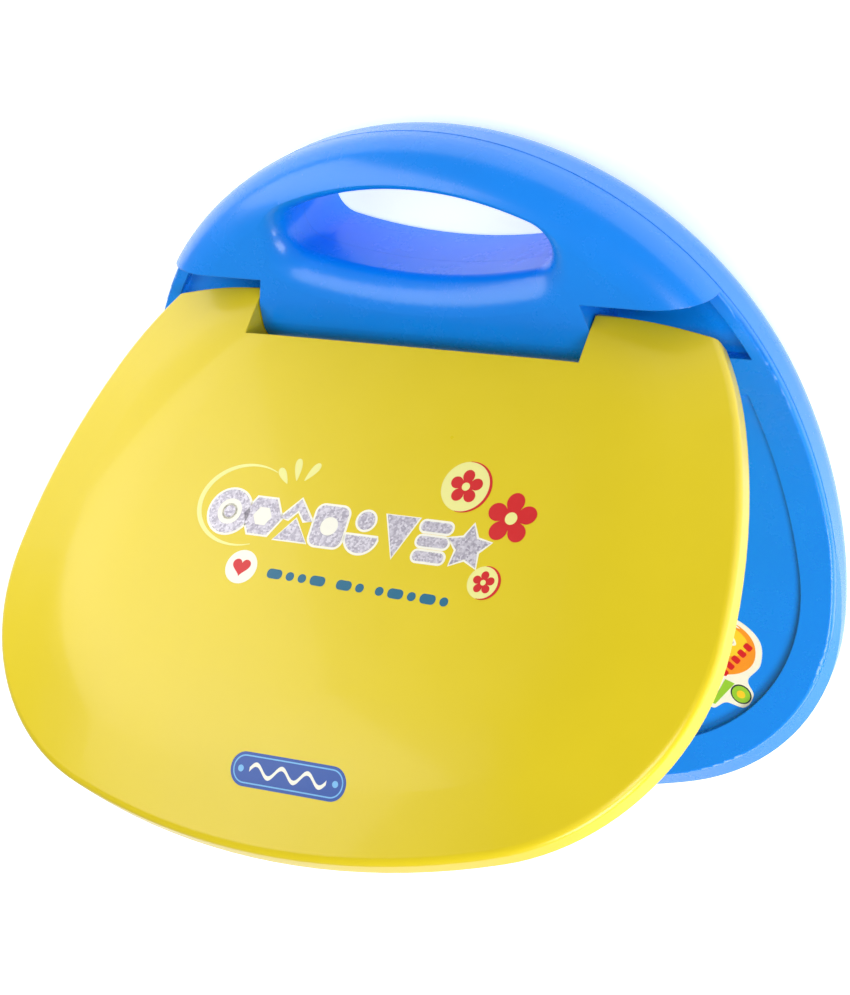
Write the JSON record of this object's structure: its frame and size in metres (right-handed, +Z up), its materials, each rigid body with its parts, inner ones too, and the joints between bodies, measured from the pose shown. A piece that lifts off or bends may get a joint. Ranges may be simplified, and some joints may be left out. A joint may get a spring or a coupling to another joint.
{
  "type": "toy laptop computer",
  "caption": "Toy laptop with a rounded carry-handle base, a thick hinged lid with a small screen, and a sprung colour keyboard.",
  "frame": {"origin": "on the surface that the feet stand on, under the middle of the outline", "axes": "+X across the width to the user's right, +Y from the front edge to the carry handle, +Z up"},
  "size_m": [0.2525, 0.2427, 0.1739],
  "materials": {
    "base_blue": "gloss",
    "board_green": "solder mask",
    "button_green": "gloss",
    "button_orange": "gloss",
    "button_red": "gloss",
    "button_white": "gloss",
    "cell_jacket": "printed jacket",
    "chip_black": "epoxy",
    "clear_window": "clear plastic",
    "contact_metal": "nickel plated",
    "foot_rubber": "matte",
    "key_green": "satin",
    "key_red": "satin",
    "key_white": "satin",
    "key_yellow": "satin",
    "lcd_grey": "reflective liquid crystal display",
    "lid_yellow": "satin",
    "membrane_grey": "silicone",
    "speaker_black": "matte",
    "steel": "zinc plated",
    "sticker": "printed film",
    "switch_black": "matte"
  },
  "bodies": {
    "base": {"battery_cell_1": "cell_jacket", "battery_cell_2": "cell_jacket", "battery_cell_3": "cell_jacket", "battery_cell_4": "cell_jacket", "battery_contacts": "contact_metal", "case_screws": "steel", "circuit_board": "board_green", "deck_sticker": "sticker", "hinge_pin_left": "steel", "hinge_pin_right": "steel", "key_membrane": "membrane_grey", "lower_shell": "base_blue", "rubber_feet": "foot_rubber", "sound_chip": "chip_black", "speaker": "speaker_black", "switch_body": "switch_black", "upper_shell": "base_blue"},
    "lid": {"lcd_module": "lcd_grey", "lid_panel": "lid_yellow", "lid_screws": "steel", "lid_shell": "lid_yellow", "screen_window": "clear_window"},
    "battery_door": {"battery_door": "base_blue"},
    "switch_knob": {"switch_knob": "switch_black"},
    "play_key": {"play_key": "key_white"},
    "key_01": {"key_01": "key_red"},
    "key_02": {"key_02": "key_red"},
    "key_03": {"key_03": "key_red"},
    "key_04": {"key_04": "key_red"},
    "key_05": {"key_05": "key_red"},
    "key_06": {"key_06": "key_red"},
    "key_07": {"key_07": "key_yellow"},
    "key_08": {"key_08": "key_yellow"},
    "key_09": {"key_09": "key_yellow"},
    "key_10": {"key_10": "key_yellow"},
    "key_11": {"key_11": "key_yellow"},
    "key_12": {"key_12": "key_yellow"},
    "key_13": {"key_13": "key_green"},
    "key_14": {"key_14": "key_green"},
    "key_15": {"key_15": "key_green"},
    "key_16": {"key_16": "key_green"},
    "key_17": {"key_17": "key_green"},
    "key_18": {"key_18": "key_green"},
    "mode_button_1": {"mode_button_1": "button_red"},
    "mode_button_2": {"mode_button_2": "button_orange"},
    "mode_button_3": {"mode_button_3": "button_green"},
    "mode_button_4": {"mode_button_4": "button_white"}
  },
  "joints": [
    {"name": "lid_hinge", "type": "hinge", "parent": "base", "child": "lid", "pos_m": [0, 0.06, 0.0295], "axis": [-1, 0, 0], "range_deg": [-52.7, 45]},
    {"name": "battery_door_slide", "type": "slide", "parent": "base", "child": "battery_door", "axis": [0, -1, 0], "range_m": [0, 0.008]},
    {"name": "power_switch_slide", "type": "slide", "parent": "base", "child": "switch_knob", "axis": [0, 1, 0], "range_m": [0, 0.004]},
    {"name": "key_01_press", "type": "slide", "parent": "base", "child": "key_01", "axis": [0, 0, -1], "range_m": [0, 0.002], "stiffness_N_per_m": 500},
    {"name": "key_02_press", "type": "slide", "parent": "base", "child": "key_02", "axis": [0, 0, -1], "range_m": [0, 0.002], "stiffness_N_per_m": 500},
    {"name": "key_03_press", "type": "slide", "parent": "base", "child": "key_03", "axis": [0, 0, -1], "range_m": [0, 0.002], "stiffness_N_per_m": 500},
    {"name": "key_04_press", "type": "slide", "parent": "base", "child": "key_04", "axis": [0, 0, -1], "range_m": [0, 0.002], "stiffness_N_per_m": 500},
    {"name": "key_05_press", "type": "slide", "parent": "base", "child": "key_05", "axis": [0, 0, -1], "range_m": [0, 0.002], "stiffness_N_per_m": 500},
    {"name": "key_06_press", "type": "slide", "parent": "base", "child": "key_06", "axis": [0, 0, -1], "range_m": [0, 0.002], "stiffness_N_per_m": 500},
    {"name": "key_07_press", "type": "slide", "parent": "base", "child": "key_07", "axis": [0, 0, -1], "range_m": [0, 0.002], "stiffness_N_per_m": 500},
    {"name": "key_08_press", "type": "slide", "parent": "base", "child": "key_08", "axis": [0, 0, -1], "range_m": [0, 0.002], "stiffness_N_per_m": 500},
    {"name": "key_09_press", "type": "slide", "parent": "base", "child": "key_09", "axis": [0, 0, -1], "range_m": [0, 0.002], "stiffness_N_per_m": 500},
    {"name": "key_10_press", "type": "slide", "parent": "base", "child": "key_10", "axis": [0, 0, -1], "range_m": [0, 0.002], "stiffness_N_per_m": 500},
    {"name": "key_11_press", "type": "slide", "parent": "base", "child": "key_11", "axis": [0, 0, -1], "range_m": [0, 0.002], "stiffness_N_per_m": 500},
    {"name": "key_12_press", "type": "slide", "parent": "base", "child": "key_12", "axis": [0, 0, -1], "range_m": [0, 0.002], "stiffness_N_per_m": 500},
    {"name": "key_13_press", "type": "slide", "parent": "base", "child": "key_13", "axis": [0, 0, -1], "range_m": [0, 0.002], "stiffness_N_per_m": 500},
    {"name": "key_14_press", "type": "slide", "parent": "base", "child": "key_14", "axis": [0, 0, -1], "range_m": [0, 0.002], "stiffness_N_per_m": 500},
    {"name": "key_15_press", "type": "slide", "parent": "base", "child": "key_15", "axis": [0, 0, -1], "range_m": [0, 0.002], "stiffness_N_per_m": 500},
    {"name": "key_16_press", "type": "slide", "parent": "base", "child": "key_16", "axis": [0, 0, -1], "range_m": [0, 0.002], "stiffness_N_per_m": 500},
    {"name": "key_17_press", "type": "slide", "parent": "base", "child": "key_17", "axis": [0, 0, -1], "range_m": [0, 0.002], "stiffness_N_per_m": 500},
    {"name": "key_18_press", "type": "slide", "parent": "base", "child": "key_18", "axis": [0, 0, -1], "range_m": [0, 0.002], "stiffness_N_per_m": 500},
    {"name": "mode_button_1_press", "type": "slide", "parent": "base", "child": "mode_button_1", "axis": [0, 0, -1], "range_m": [0, 0.002], "stiffness_N_per_m": 500},
    {"name": "mode_button_2_press", "type": "slide", "parent": "base", "child": "mode_button_2", "axis": [0, 0, -1], "range_m": [0, 0.002], "stiffness_N_per_m": 500},
    {"name": "mode_button_3_press", "type": "slide", "parent": "base", "child": "mode_button_3", "axis": [0, 0, -1], "range_m": [0, 0.002], "stiffness_N_per_m": 500},
    {"name": "mode_button_4_press", "type": "slide", "parent": "base", "child": "mode_button_4", "axis": [0, 0, -1], "range_m": [0, 0.002], "stiffness_N_per_m": 500},
    {"name": "play_key_press", "type": "slide", "parent": "base", "child": "play_key", "axis": [0, 0, -1], "range_m": [0, 0.002], "stiffness_N_per_m": 500}
  ]
}
